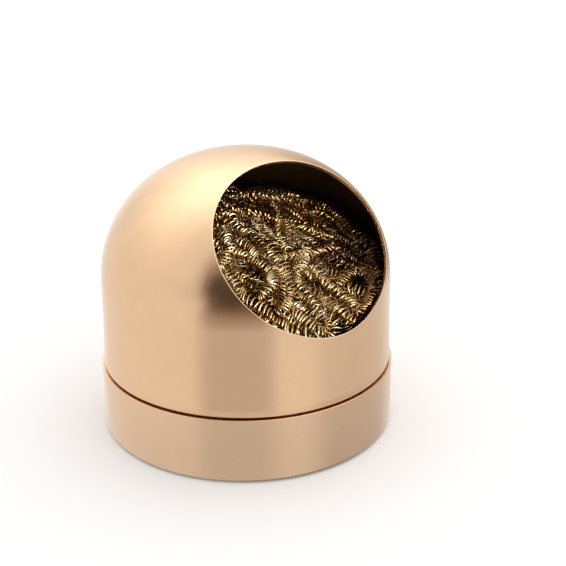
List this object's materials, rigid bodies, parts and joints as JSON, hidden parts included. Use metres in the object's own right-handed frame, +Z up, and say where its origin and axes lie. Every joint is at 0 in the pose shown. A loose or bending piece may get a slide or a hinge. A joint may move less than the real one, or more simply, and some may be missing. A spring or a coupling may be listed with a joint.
{
  "type": "soldering iron tip cleaner",
  "caption": "Desk tip cleaner for a soldering iron: a domed aluminium shell with a slanted mouth over a nest of curled brass wool, on a weighted round base with a rubber foot.",
  "frame": {"origin": "centre of the underside, on the bench", "axes": "+Z up along the axis of the dome and base; the slanted mouth faces -Y; +X to the right of a person looking into the mouth"},
  "size_m": [0.07, 0.07, 0.0662],
  "materials": {
    "anodised_dome": "satin",
    "anodised_base": "satin",
    "ring_rubber": "matte",
    "ballast_steel": "satin",
    "screw_steel": "satin",
    "pad_rubber": "matte",
    "brass_wool": "satin"
  },
  "bodies": {
    "base": {"base_cup": "anodised_base", "ballast_disc": "ballast_steel", "ballast_screw_1": "screw_steel", "ballast_screw_2": "screw_steel", "ballast_screw_3": "screw_steel", "foot_pad": "pad_rubber"},
    "grip_ring": {"grip_ring": "ring_rubber"},
    "wool": {"wool_curl_01": "brass_wool", "wool_curl_02": "brass_wool", "wool_curl_03": "brass_wool", "wool_curl_04": "brass_wool", "wool_curl_05": "brass_wool", "wool_curl_06": "brass_wool", "wool_curl_07": "brass_wool", "wool_curl_08": "brass_wool", "wool_curl_09": "brass_wool", "wool_curl_10": "brass_wool", "wool_curl_11": "brass_wool", "wool_curl_12": "brass_wool"},
    "dome": {"dome_shell": "anodised_dome"}
  },
  "joints": [
    {"name": "dome_turn", "type": "hinge", "parent": "base", "child": "grip_ring", "pos_m": [0, 0, 0.0201], "axis": [0, 0, 1], "continuous": true},
    {"name": "wool_lift", "type": "slide", "parent": "grip_ring", "child": "wool", "axis": [0, 0, 1], "range_m": [0, 0.04]},
    {"name": "dome_lift", "type": "slide", "parent": "wool", "child": "dome", "axis": [0, 0, 1], "range_m": [0, 0.06]}
  ]
}
